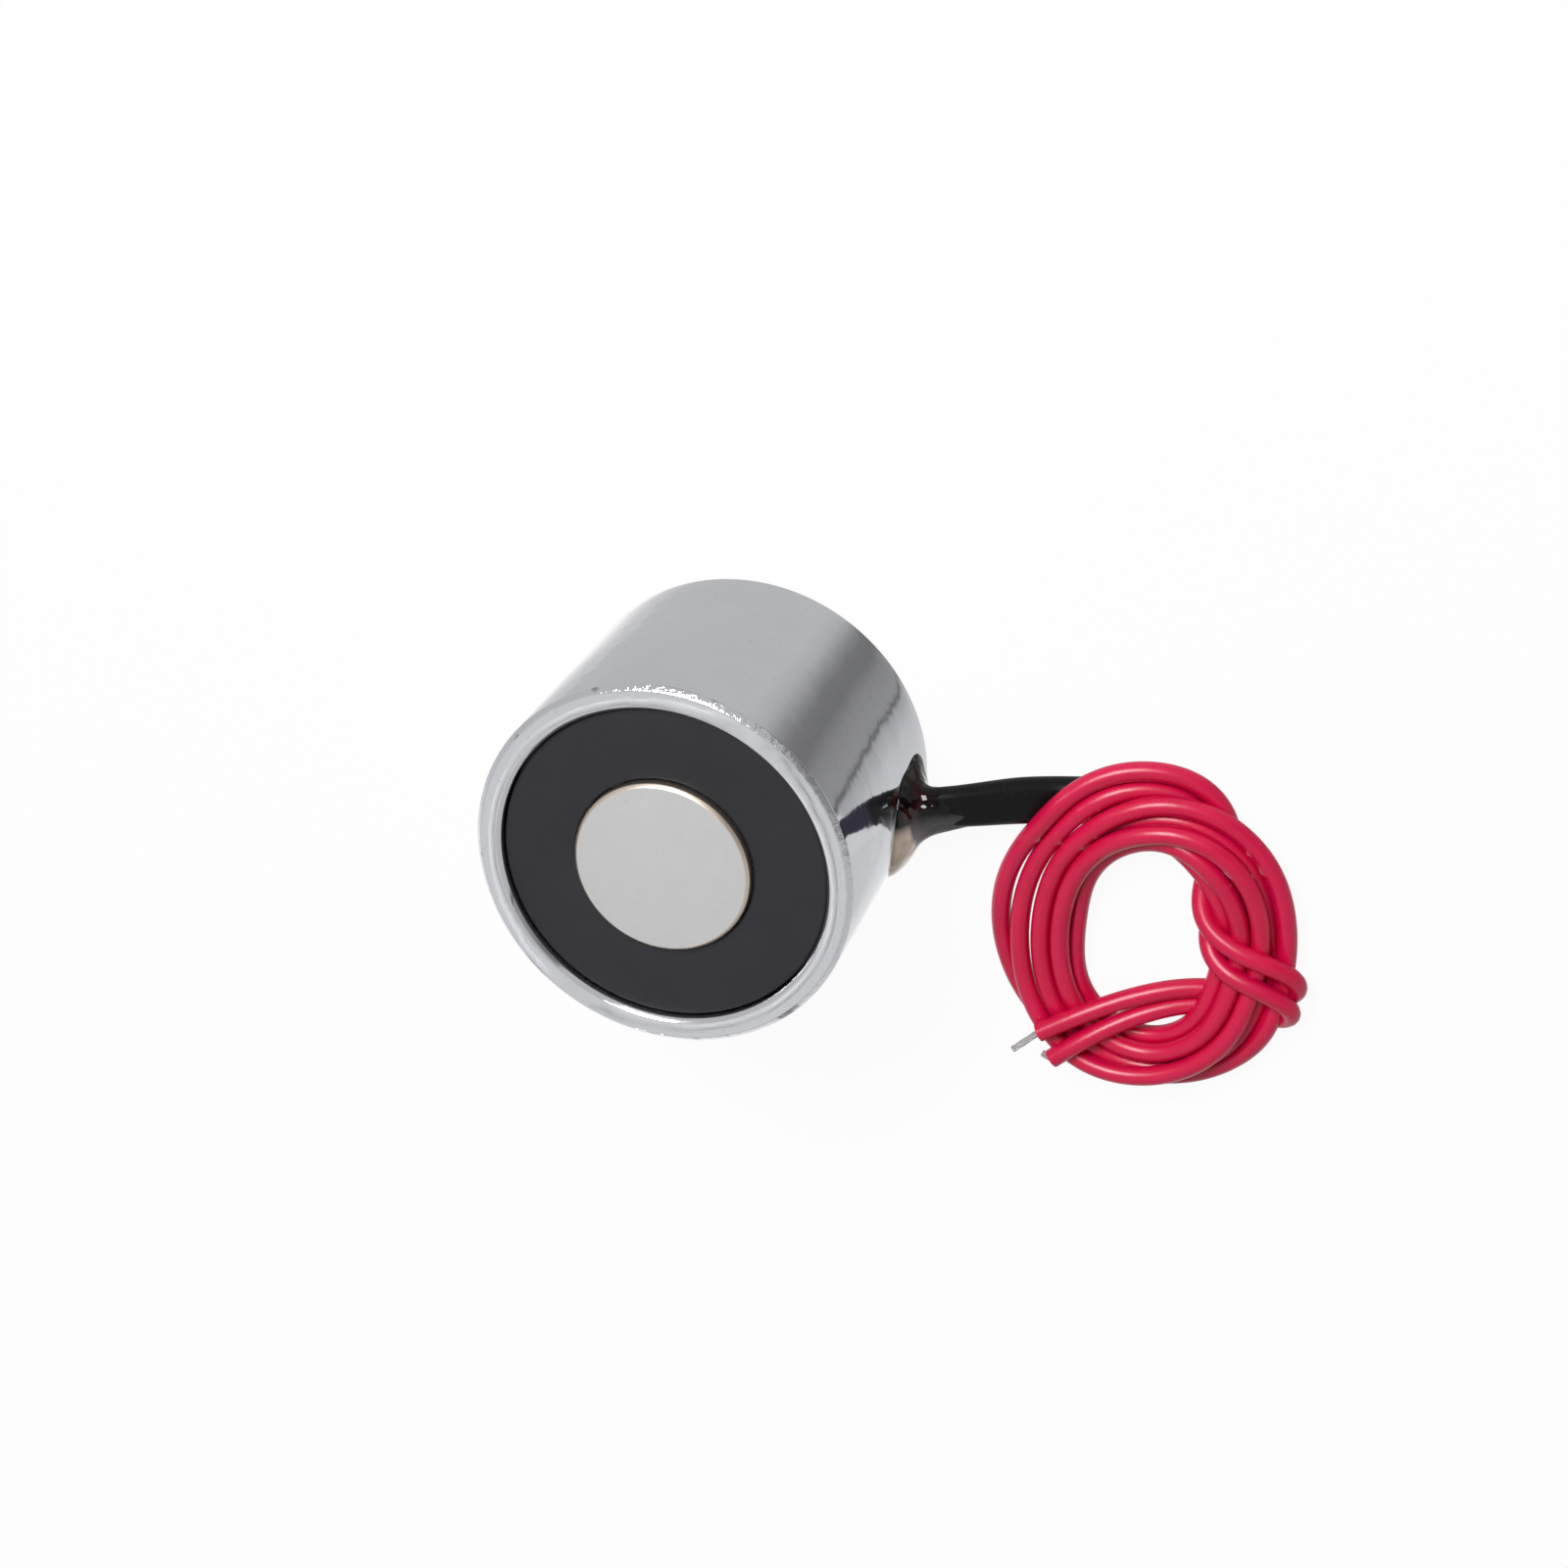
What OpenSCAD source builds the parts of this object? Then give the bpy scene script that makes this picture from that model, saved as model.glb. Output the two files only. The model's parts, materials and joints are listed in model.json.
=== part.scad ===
// Holding electromagnet: a steel cup with a central pole, a potted winding between them,
// and two leads that leave the side in one sleeve and lie in a tied ring.
// It stands on its mounting face with the pole face up, and the leads leave towards +X.

/* [Cup] */
// Outside diameter of the magnet
body_d = 30; // [27:0.5:40]
// Height from the mounting face to the pole face
body_h = 22; // [19:0.5:32]
// Wall of the cup round the winding
wall = 2; // [1.5:0.1:2.5]
// Thickness of the cup's floor
floor_t = 3.4; // [2.5:0.1:4.5]
// Bevel on the outside of the rim
rim_bevel = 0.4; // [0.1:0.05:0.7]
// Bevel on the inside of the rim
bore_bevel = 0.3; // [0.1:0.05:0.5]
// Bevel round the mounting face
back_bevel = 0.5; // [0.1:0.05:1]

/* [Pole core] */
// Diameter of the pole
core_d = 14; // [11.5:0.5:15]
// Bevel round the pole's face
core_bevel = 0.25; // [0.1:0.05:0.5]
// Diameter of the spigot that is pressed into the cup's floor
spigot_d = 9; // [7:0.5:11]

/* [Mounting thread] */
// Diameter of the tapped wall
tap_d = 3.3; // [2.5:0.1:4.2]
// Depth of the tapped wall
tap_depth = 9; // [6:0.5:12]
// Depth of the countersink at the thread's mouth
tap_sink = 0.4; // [0.2:0.05:0.6]
// Point angle of the tapping drill
drill_point = 118; // [90:1:140]

/* [Bobbin and winding] */
// Clearance between the pole and the bobbin
bobbin_gap = 0.1; // [0.05:0.05:0.3]
// Wall of the bobbin's tube
bobbin_wall = 0.8; // [0.5:0.1:1.2]
// Thickness of each bobbin flange
flange_t = 0.9; // [0.6:0.1:1.4]
// Clearance between the flanges and the cup
flange_gap = 0.3; // [0.1:0.05:0.6]
// Height of the flanges' edges above the tape
flange_edge = 0.6; // [0.2:0.1:1]
// Thickness of the tape round the winding
tape_t = 0.3; // [0.1:0.05:0.5]
// Diameter of the winding's end wires
magnet_wire_d = 0.3; // [0.2:0.05:0.5]
// Clearance round the end wires in the bobbin's flange
magnet_wire_gap = 0.15; // [0.05:0.05:0.3]

/* [Face ring] */
// Depth of the face ring below the pole face
face_recess = 0.7; // [0.3:0.05:1.2]
// Thickness of the face ring
face_t = 0.9; // [0.6:0.1:1.5]
// Clearance round the face ring, at the cup and at the pole
face_gap = 0.12; // [0.05:0.01:0.2]
// Rounding of the face ring's front edges
face_round = 0.25; // [0.1:0.05:0.4]

/* [Lead exit] */
// Clearance between the sleeve and the hole in the cup
exit_gap = 0.15; // [0.05:0.05:0.3]
// Height of the hole's edge above the cup's floor
exit_lift = 0.1; // [0:0.1:0.5]
// Height of the bobbin above the hole's upper edge
bobbin_lift = 0.3; // [0.1:0.1:1]
// Width of the resin bead round the cup
bead_w = 9.6; // [7:0.2:11]
// Height of the resin bead above the cup's side
bead_h = 1.2; // [0.6:0.1:2]
// Angle round the cup that the resin ran to one side before it set
bead_run = 8; // [4:1:12]

/* [Leads] */
// Diameter of each lead over its insulation
lead_d = 1.6; // [1.3:0.1:1.8]
// Clearance between and round the leads in the sleeve
lead_gap = 0.05; // [0.02:0.01:0.1]
// Wall of the sleeve
sleeve_wall = 0.3; // [0.2:0.05:0.4]
// Length of the sleeve inside the cup
sleeve_in = 0.8; // [0.4:0.1:1]
// Diameter of the bare conductor
conductor_d = 0.6; // [0.4:0.1:0.9]
// Length of the bare tip of the longer lead
tip_a_l = 2.8; // [1:0.1:4]
// Length of the bare tip of the shorter lead
tip_b_l = 1.2; // [0.6:0.1:3]

/* [Splices] */
// Diameter of each insulated splice
splice_d = 2.2; // [2:0.1:2.6]
// Length of each insulated splice
splice_l = 4.5; // [3.5:0.1:5]
// Angle of the splices round the pole, from the lead exit
splice_angle = 37; // [33:1:50]

/* [Tied ring of leads] */
// Outside diameter of the ring
coil_d = 26.4; // [24:0.2:30]
// Diameter of the ring's hole
coil_hole_d = 11.2; // [8:0.2:12]
// Height of the ring
coil_h = 4.2; // [3.6:0.1:6]
// Rounding of the ring's section
coil_round = 1.4; // [0.8:0.1:1.7]
// Distance of the ring's middle from the cup's side
coil_out = 18.2; // [17:0.1:24]
// Place of the ring's middle across the lead exit
coil_across = -8.6; // [-10:0.1:-7]
// Clearance of the ring beside the sleeve
coil_gap = 0.1; // [0.05:0.05:0.3]

/* [Hidden] */
$fn = 96;
lap = 1;
tube_sides = 8;
arc_steps = 6;

body_r = body_d / 2;
bore_r = body_r - wall;
core_r = core_d / 2;
mid_r = (core_r + bore_r) / 2;
spigot_r = spigot_d / 2;
tap_r = tap_d / 2;
lead_r = lead_d / 2;
lead_side = (lead_d + lead_gap) / 2;

sleeve_bore_h = lead_d + 2 * lead_gap;
sleeve_bore_w = 2 * lead_d + 3 * lead_gap;
sleeve_h = sleeve_bore_h + 2 * sleeve_wall;
sleeve_w = sleeve_bore_w + 2 * sleeve_wall;

exit_r = sleeve_w / 2 + exit_gap;
exit_z = floor_t + exit_lift + exit_r;
bobbin_z = exit_z + exit_r + bobbin_lift;
face_z = body_h - face_recess - face_t;
winding_z = bobbin_z + flange_t;
winding_top = face_z - flange_t;
tube_r = core_r + bobbin_gap + bobbin_wall;
flange_r = bore_r - flange_gap;
tape_r = flange_r - flange_edge;
winding_r = tape_r - tape_t;

// The bead is two caps of spheres that stand out of the cup's side, one round the sleeve and one beside it
bead_foot = sqrt(body_r * body_r - bead_w * bead_w / 4);
bead_cap = body_r + bead_h - bead_foot;
bead_r = (bead_w * bead_w / 4 + bead_cap * bead_cap) / (2 * bead_cap);
bead_x = body_r + bead_h - bead_r;

splice_r = splice_d / 2;
splice_mid = [mid_r * cos(splice_angle), mid_r * sin(splice_angle), exit_z];
splice_dir = [-sin(splice_angle), cos(splice_angle), 0];
splice_start = splice_mid - splice_dir * splice_l / 2;
splice_end = splice_mid + splice_dir * splice_l / 2;
wire_foot = splice_end - splice_dir * splice_r;

// Route of the sleeve: out of the bead, down in a straight slope and along the ground
sleeve_lie = sleeve_h / 2;
sleeve_bend = body_r + bead_h;
sleeve_route = [
    [bore_r - sleeve_in, 0, exit_z],
    [sleeve_bend + 0.2, 0, exit_z],
    [sleeve_bend + 1.8, 0.2, exit_z - 0.6],
    [sleeve_bend + 3.4, 0.3, exit_z - 1.35],
    [body_r + 6.2, 0.4, exit_z - 2.2],
    [body_r + 7.8, 0.4, sleeve_lie + 1.45],
    [body_r + 9.4, 0.4, sleeve_lie + 0.7],
    [body_r + 10.8, 0.4, sleeve_lie + 0.2],
    [body_r + 12.2, 0.4, sleeve_lie],
    [body_r + 15, 0.4, sleeve_lie]
];
sleeve_end = sleeve_route[len(sleeve_route) - 1];

// Inner stretch of the lead on the +Y side, from its splice to the sleeve
lead_inner = [
    splice_start,
    splice_start - splice_dir * 0.8,
    [mid_r + 0.5, 2.2, exit_z],
    [bore_r - sleeve_in - 0.9, lead_side + 0.35, exit_z],
    [bore_r - sleeve_in - 0.3, lead_side, exit_z]
];

// Tails lie across the ring, from its right side to their cut ends beside the cup
coil_x = body_r + coil_out;
tail_z = coil_h + lead_r * cos(180 / tube_sides);
tail_a_route = [
    [coil_x + 7.6, coil_across - 1.8, tail_z],
    [coil_x + 3, coil_across - 4.2, tail_z],
    [coil_x - 2, coil_across - 6.8, tail_z],
    [coil_x - 7, coil_across - 9.4, tail_z]
];
tail_b_route = [
    [coil_x + 8, coil_across - 4, tail_z],
    [coil_x + 3, coil_across - 6.8, tail_z],
    [coil_x - 2, coil_across - 9.8, tail_z],
    [coil_x - 6, coil_across - 12, tail_z]
];

function unit(v) = v / norm(v);

function heading(route, i) =
    let (last = len(route) - 1)
    i == 0 ? unit(route[1] - route[0])
    : i == last ? unit(route[last] - route[last - 1])
    : unit(unit(route[i + 1] - route[i]) + unit(route[i] - route[i - 1]));

function sideways(direction) = unit(cross([0, 0, 1], direction));

// One ring of a swept tube: the outline stands across the route at its point i
function tube_ring(route, i, outline) =
    let (ahead = heading(route, i), side = sideways(ahead), up = cross(ahead, side))
    [for (p = outline) route[i] + side * p[0] + up * p[1]];

function round_outline(r, sides) = [
    for (k = [0:sides - 1]) let (a = 360 * (k + 0.5) / sides) r * [cos(a), sin(a)]
];

// Flat oval: two half circles joined by straight sides
function oval_outline(w, h) =
    let (r = h / 2, shift = w / 2 - r)
    [
        for (k = [0:arc_steps]) let (a = 180 * k / arc_steps - 90) [shift + r * cos(a), r * sin(a)],
        for (k = [0:arc_steps]) let (a = 180 * k / arc_steps + 90) [-shift + r * cos(a), r * sin(a)]
    ];

function mirrored(route) = [for (p = route) [p[0], -p[1], p[2]]];

// The part of a lead that lies in the sleeve, to one side of the sleeve's middle
function in_sleeve(shift) = [
    for (i = [0:len(sleeve_route) - 1]) sleeve_route[i] + sideways(heading(sleeve_route, i)) * shift
];

function band_faces(first, rings, sides) = [
    for (i = [0:rings - 2], k = [0:sides - 1])
        let (a = first + i * sides + k, b = first + i * sides + (k + 1) % sides)
        each [[a, a + sides, b + sides], [a, b + sides, b]]
];

module swept(route, outline) {
    sides = len(outline);
    rings = len(route);
    points = [for (i = [0:rings - 1]) each tube_ring(route, i, outline)];
    start_cap = [for (k = [0:sides - 1]) k];
    end_cap = [for (k = [sides - 1:-1:0]) (rings - 1) * sides + k];
    polyhedron(points, concat([start_cap], band_faces(0, rings, sides), [end_cap]));
}

module swept_pipe(route, outer, inner) {
    sides = len(outer);
    rings = len(route);
    inside = rings * sides;
    last = (rings - 1) * sides;
    points = concat(
        [for (i = [0:rings - 1]) each tube_ring(route, i, outer)],
        [for (i = [0:rings - 1]) each tube_ring(route, i, inner)]
    );
    inner_faces = [for (f = band_faces(inside, rings, sides)) [f[2], f[1], f[0]]];
    caps = [
        for (k = [0:sides - 1])
            let (n = (k + 1) % sides)
            each [
                [k, n, inside + n], [k, inside + n, inside + k],
                [last + k, inside + last + n, last + n], [last + k, inside + last + k, inside + last + n]
            ]
    ];
    polyhedron(points, concat(band_faces(0, rings, sides), inner_faces, caps));
}

// A straight rod between two points
module rod(from, to, r) {
    run = to - from;
    translate(from)
        rotate([0, acos(run[2] / norm(run)), atan2(run[1], run[0])])
            cylinder(r = r, h = norm(run));
}

module across_x(x, z) {
    translate([x, 0, z]) rotate([90, 0, 90]) children();
}

// The straight passage that the sleeve fills in the cup's wall
module sleeve_passage() {
    across_x(bore_r - sleeve_in, exit_z)
        linear_extrude(wall + sleeve_in + bead_h + lap)
            union() {
                square([sleeve_w - sleeve_h, sleeve_h], center = true);
                for (side = [-1, 1])
                    translate([side * (sleeve_w - sleeve_h) / 2, 0]) circle(sleeve_h / 2);
            }
}

module shell() {
    color("silver")
        difference() {
            rotate_extrude()
                polygon([
                    [spigot_r, 0],
                    [body_r - back_bevel, 0],
                    [body_r, back_bevel],
                    [body_r, body_h - rim_bevel],
                    [body_r - rim_bevel, body_h],
                    [bore_r + bore_bevel, body_h],
                    [bore_r, body_h - bore_bevel],
                    [bore_r, floor_t],
                    [spigot_r, floor_t]
                ]);
            across_x(bore_r - lap, exit_z) cylinder(r = exit_r, h = wall + 2 * lap);
        }
}

module core() {
    color("gainsboro")
        difference() {
            rotate_extrude()
                polygon([
                    [0, 0],
                    [spigot_r, 0],
                    [spigot_r, floor_t],
                    [core_r, floor_t],
                    [core_r, body_h - core_bevel],
                    [core_r - core_bevel, body_h],
                    [0, body_h]
                ]);
            translate([0, 0, -lap]) cylinder(r = tap_r, h = tap_depth + lap);
            translate([0, 0, -lap]) cylinder(r1 = tap_r + tap_sink + lap, r2 = tap_r, h = tap_sink + lap);
            translate([0, 0, tap_depth]) cylinder(r1 = tap_r, r2 = 0, h = tap_r / tan(drill_point / 2));
        }
}

module face_ring() {
    inner_r = core_r + face_gap;
    width = bore_r - face_gap - inner_r;
    color([0.12, 0.12, 0.13])
        translate([0, 0, face_z])
            rotate_extrude()
                translate([inner_r, 0])
                    union() {
                        square([width, face_t - face_round]);
                        translate([face_round, 0]) square([width - 2 * face_round, face_t]);
                        for (x = [face_round, width - face_round])
                            translate([x, face_t - face_round]) circle(face_round);
                    }
}

module end_wire(side, r) {
    translate([wire_foot[0], side * wire_foot[1], exit_z]) cylinder(r = r, h = winding_z + lap - exit_z);
}

module bobbin() {
    color("ivory")
        difference() {
            rotate_extrude()
                polygon([
                    [core_r + bobbin_gap, bobbin_z],
                    [flange_r, bobbin_z],
                    [flange_r, winding_z],
                    [tube_r, winding_z],
                    [tube_r, winding_top],
                    [flange_r, winding_top],
                    [flange_r, face_z],
                    [core_r + bobbin_gap, face_z]
                ]);
            for (side = [-1, 1]) end_wire(side, magnet_wire_d / 2 + magnet_wire_gap);
        }
}

module winding() {
    color("peru")
        union() {
            rotate_extrude()
                translate([tube_r, winding_z]) square([winding_r - tube_r, winding_top - winding_z]);
            for (side = [-1, 1]) end_wire(side, magnet_wire_d / 2);
        }
}

module winding_tape() {
    color("goldenrod")
        rotate_extrude()
            translate([winding_r, winding_z]) square([tape_t, winding_top - winding_z]);
}

module splice_body(side) {
    difference() {
        rod(
            [splice_start[0], side * splice_start[1], exit_z],
            [splice_end[0], side * splice_end[1], exit_z],
            splice_r
        );
        end_wire(side, magnet_wire_d / 2);
    }
}

module splice_a() {
    color("dimgray") splice_body(1);
}

module splice_b() {
    color("dimgray") splice_body(-1);
}

module lead_body(side) {
    inner = side > 0 ? lead_inner : mirrored(lead_inner);
    swept(concat(inner, in_sleeve(side * lead_side)), round_outline(lead_r, tube_sides));
}

module potting_resin() {
    color("saddlebrown")
        difference() {
            rotate_extrude()
                polygon([
                    [core_r, floor_t],
                    [bore_r, floor_t],
                    [bore_r, face_z],
                    [flange_r, face_z],
                    [flange_r, winding_top],
                    [tape_r, winding_top],
                    [tape_r, winding_z],
                    [flange_r, winding_z],
                    [flange_r, bobbin_z],
                    [core_r, bobbin_z]
                ]);
            sleeve_passage();
            for (side = [-1, 1]) {
                lead_body(side);
                splice_body(side);
                end_wire(side, magnet_wire_d / 2);
            }
        }
}

module exit_seal() {
    color([0.1, 0.07, 0.05])
        difference() {
            union() {
                across_x(bore_r - lap, exit_z) cylinder(r = exit_r, h = wall + lap);
                difference() {
                    for (turn = [0, -bead_run])
                        rotate([0, 0, turn]) translate([bead_x, 0, exit_z]) sphere(bead_r);
                    translate([0, 0, -bead_r]) cylinder(r = body_r, h = body_h + 2 * bead_r);
                }
            }
            translate([0, 0, -lap]) cylinder(r = bore_r, h = body_h + 2 * lap);
            sleeve_passage();
        }
}

module lead_sleeve() {
    color([0.1, 0.1, 0.1])
        swept_pipe(
            sleeve_route,
            oval_outline(sleeve_w, sleeve_h),
            oval_outline(sleeve_bore_w, sleeve_bore_h)
        );
}

module lead_a() {
    color("crimson") lead_body(1);
}

module lead_b() {
    color("crimson") lead_body(-1);
}

// Outer shape of the tied ring, open where the sleeve runs in below its upper turns
module lead_coil() {
    section_w = (coil_d - coil_hole_d) / 2;
    slot_w = sleeve_w + 2 * coil_gap;
    color("crimson")
        difference() {
            translate([coil_x, coil_across, 0])
                rotate_extrude()
                    translate([coil_hole_d / 2, 0])
                        union() {
                            translate([coil_round, 0]) square([section_w - 2 * coil_round, coil_h]);
                            translate([0, coil_round]) square([section_w, coil_h - 2 * coil_round]);
                            for (x = [coil_round, section_w - coil_round])
                                for (z = [coil_round, coil_h - coil_round])
                                    translate([x, z]) circle(coil_round);
                        }
            translate([sleeve_end[0] - coil_d, sleeve_end[1] - slot_w / 2, -lap])
                cube([coil_d, slot_w, coil_h + 2 * lap]);
        }
}

module tail_a() {
    color("crimson") swept(tail_a_route, round_outline(lead_r, tube_sides));
}

module tail_b() {
    color("crimson") swept(tail_b_route, round_outline(lead_r, tube_sides));
}

module tip(route, l) {
    last = len(route) - 1;
    color("lightgray") rod(route[last], route[last] + heading(route, last) * l, conductor_d / 2);
}

module tip_a() {
    tip(tail_a_route, tip_a_l);
}

module tip_b() {
    tip(tail_b_route, tip_b_l);
}

shell();
core();
face_ring();
bobbin();
winding();
winding_tape();
splice_a();
splice_b();
potting_resin();
exit_seal();
lead_sleeve();
lead_a();
lead_b();
lead_coil();
tail_a();
tail_b();
tip_a();
tip_b();
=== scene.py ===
import json
import math

import bmesh
import bpy
import numpy as np
from mathutils import Matrix, Vector

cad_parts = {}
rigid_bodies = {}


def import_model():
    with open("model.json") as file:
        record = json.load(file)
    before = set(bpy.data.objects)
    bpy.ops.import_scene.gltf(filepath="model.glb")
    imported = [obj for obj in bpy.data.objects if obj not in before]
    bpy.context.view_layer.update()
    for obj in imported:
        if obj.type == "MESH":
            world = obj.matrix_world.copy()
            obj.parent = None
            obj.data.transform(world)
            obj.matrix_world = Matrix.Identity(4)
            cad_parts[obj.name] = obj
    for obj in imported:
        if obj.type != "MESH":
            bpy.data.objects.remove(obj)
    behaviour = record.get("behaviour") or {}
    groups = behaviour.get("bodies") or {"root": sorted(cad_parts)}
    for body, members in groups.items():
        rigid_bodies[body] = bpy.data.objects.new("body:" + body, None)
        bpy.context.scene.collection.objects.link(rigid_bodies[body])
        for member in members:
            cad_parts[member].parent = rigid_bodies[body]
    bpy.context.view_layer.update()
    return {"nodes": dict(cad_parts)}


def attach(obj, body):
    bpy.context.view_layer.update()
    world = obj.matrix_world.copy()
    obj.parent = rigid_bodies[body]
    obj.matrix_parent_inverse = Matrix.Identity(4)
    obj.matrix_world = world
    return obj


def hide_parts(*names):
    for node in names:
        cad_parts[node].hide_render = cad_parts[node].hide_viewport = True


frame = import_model()
nodes = frame["nodes"]
mm = 0.001
exitZ = 5.625  # height of the lead exit
print("frame loaded:", len(nodes), "nodes")


class Value:  # a node socket that takes part in sums
    def __init__(self, board, socket):
        self.board = board
        self.socket = socket

    def math(self, operation, *values):
        return self.board.node("ShaderNodeMath", {"operation": operation}, values)

    def __add__(self, other):
        return self.math("ADD", self, other)

    def __radd__(self, other):
        return self.math("ADD", other, self)

    def __sub__(self, other):
        return self.math("SUBTRACT", self, other)

    def __rsub__(self, other):
        return self.math("SUBTRACT", other, self)

    def __mul__(self, other):
        return self.math("MULTIPLY", self, other)

    def __rmul__(self, other):
        return self.math("MULTIPLY", other, self)

    def __pow__(self, other):
        return self.math("POWER", self, other)


class Board:  # the nodes of one material or world
    def __init__(self, owner, surface, place):
        owner.use_nodes = True
        self.owner = owner
        self.tree = owner.node_tree
        self.surface = self.tree.nodes[surface]
        self.place = self.node("ShaderNodeTexCoord", output=place)

    def node(self, kind, settings=None, sockets=(), output=None):
        made = self.tree.nodes.new(kind)
        for key, value in (settings or {}).items():
            if key == "stops":
                self.stops(made.color_ramp, value)
            else:
                setattr(made, key, value)
        self.feed(made, sockets)
        found = [out for out in made.outputs if out.enabled and output in (None, out.name)]
        return Value(self, found[0])

    def feed(self, made, sockets):
        named = sockets.items() if isinstance(sockets, dict) else enumerate(sockets)
        for key, value in named:
            socket = made.inputs[key] if isinstance(key, int) else self.find(made, key)
            if isinstance(value, Value):
                self.tree.links.new(value.socket, socket)
            else:
                socket.default_value = value

    def find(self, made, key):
        return next(socket for socket in made.inputs if socket.name == key and socket.enabled)

    def stops(self, ramp, stops):
        while len(ramp.elements) < len(stops):
            ramp.elements.new(0.5)
        for element, (position, colour) in zip(ramp.elements, stops):
            element.position = position
            element.color = (*colour, 1.0)

    def noise(self, scale, detail=3.0, rough=0.5, vector=None):
        sockets = {"Vector": vector or self.place, "Scale": scale, "Detail": detail, "Roughness": rough}
        return self.node("ShaderNodeTexNoise", None, sockets, "Fac")

    def ramp(self, fac, stops):
        return self.node("ShaderNodeValToRGB", {"stops": stops}, {"Fac": fac}, "Color")

    def mix(self, fac, first, second):
        return self.node("ShaderNodeMix", {"data_type": "RGBA"}, {"Factor": fac, "A": first, "B": second})

    def span(self, fac, low, high):  # 0 at low, 1 at high
        return self.node("ShaderNodeMapRange", None, {"Value": fac, "From Min": low, "From Max": high})

    def axes(self):
        parts = self.tree.nodes.new("ShaderNodeSeparateXYZ")
        self.tree.links.new(self.place.socket, parts.inputs[0])
        return [Value(self, out) for out in parts.outputs]

    def bump(self, height, distance):
        sockets = {"Height": height, "Distance": distance, "Strength": 1.0}
        return self.node("ShaderNodeBump", None, sockets, "Normal")

    def finish(self, **sockets):
        names = {key.replace("_", " "): value for key, value in sockets.items()}
        self.feed(self.surface, names)
        return self.owner


def newBoard(name):
    return Board(bpy.data.materials.new(name), "Principled BSDF", "Object")


def grey(level):
    return (level, level, level)


def platedSteel():
    board = newBoard("plated_steel")
    x, y, z = board.axes()
    radius = (x * x + y * y) ** 0.5
    lines = board.node("ShaderNodeTexNoise", {"noise_dimensions": "1D"}, {
        "W": radius + z, "Scale": 9000.0, "Detail": 2.0}, "Fac")
    cloud = board.noise(220.0, 4.0, 0.6)
    flat = board.node("ShaderNodeVectorMath", {"operation": "MULTIPLY"}, [board.place, (1.0, 1.0, 2.5)])
    ripple = board.noise(280.0, 1.5, 0.4, flat)
    specks = board.span(board.noise(2600.0, 2.0), 0.64, 0.76)
    bevel = board.span(radius, 0.01452, 0.01460) * board.span(z, 0.02152, 0.02160)  # of the rim
    nicks = board.noise(1500.0, 3.0, 0.7)
    # dark dashes painted into the rim bevel's colour: painted dark reflections among its glints
    paintedDarkDashes = board.span(board.noise(420.0, 2.0, 0.6), 0.60, 0.70) * bevel
    haze = board.span(board.noise(190.0, 3.0, 0.6), 0.50, 0.66)
    colour = board.ramp(cloud, [(0.3, (0.730, 0.740, 0.775)), (0.7, (0.760, 0.768, 0.800))])
    colour = board.mix(specks * 0.25, colour, (0.42, 0.43, 0.45, 1.0))
    height = lines * 0.02 + ripple * 0.45 + bevel * nicks * 1.2
    return board.finish(
        Base_Color=board.mix(paintedDarkDashes * 0.7, colour, (0.02, 0.02, 0.025, 1.0)), Metallic=1.0,
        Roughness=0.04 + 0.05 * cloud + 0.10 * specks + 0.09 * haze, Normal=board.bump(height, 0.00008))


def groundSteel():
    board = newBoard("ground_steel")
    x, y, z = board.axes()
    radius = (x * x + y * y) ** 0.5
    lines = board.node("ShaderNodeTexNoise", {"noise_dimensions": "1D"}, {
        "W": radius + z, "Scale": 7000.0, "Detail": 3.0}, "Fac")
    cloud = board.noise(500.0, 4.0, 0.6)
    colour = board.ramp(cloud, [(0.3, (0.735, 0.732, 0.735)), (0.7, (0.765, 0.762, 0.765))])
    pits = board.span(board.noise(3200.0, 2.0), 0.66, 0.78)
    edge = board.span(radius + 0.0001 * cloud, 0.00672, 0.00684) * board.span(z, 0.0210, 0.0215)
    colour = board.mix(pits * 0.2, colour, (0.36, 0.35, 0.34, 1.0))
    return board.finish(
        Base_Color=board.mix(edge, colour, (0.80, 0.68, 0.57, 1.0)), Metallic=1.0,
        Roughness=0.30 + 0.08 * cloud, Normal=board.bump(lines + pits * -0.6, 0.000003))


def blackPlastic():
    board = newBoard("black_ring")
    grain = board.noise(5200.0, 3.0)
    cloud = board.noise(260.0, 3.0)
    colour = board.ramp(cloud, [(0.3, (0.0165, 0.0165, 0.0205)), (0.7, (0.0205, 0.0205, 0.0255))])
    return board.finish(
        Base_Color=colour, Roughness=0.46 + 0.14 * cloud, Specular_IOR_Level=0.34,
        Normal=board.bump(grain, 0.000012))


def sealResin():
    board = newBoard("resin")
    y, z = board.axes()[1:]
    cloud = board.noise(420.0, 3.0)
    dents = board.noise(520.0, 1.5)
    # near black, with dark red patches painted in: a painted reflection of the red leads
    blackWithPaintedRed = board.ramp(cloud, [(0.55, (0.0012, 0.0011, 0.0011)), (0.66, (0.016, 0.003, 0.003))])
    # lighter grey on the bead's -Y side, tan further from the lead hole on that side
    lowerGrey = board.ramp(cloud, [(0.35, (0.050, 0.049, 0.053)), (0.65, (0.090, 0.088, 0.093))])
    tan = board.ramp(cloud, [(0.35, (0.36, 0.29, 0.20)), (0.65, (0.52, 0.46, 0.37))])
    below = 1.0 - board.span(y + 0.0008 * cloud, -0.0004, 0.0006)
    away = (y * y + (z - exitZ * mm) ** 2.0) ** 0.5 + 0.0010 * cloud
    colour = board.mix(below, blackWithPaintedRed, lowerGrey)
    colour = board.mix(below * board.span(away, 0.0033, 0.0037), colour, tan)
    return board.finish(
        Base_Color=colour, Roughness=0.03 + 0.03 * cloud, Specular_IOR_Level=0.3,
        Normal=board.bump(dents, 0.0004))


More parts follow.
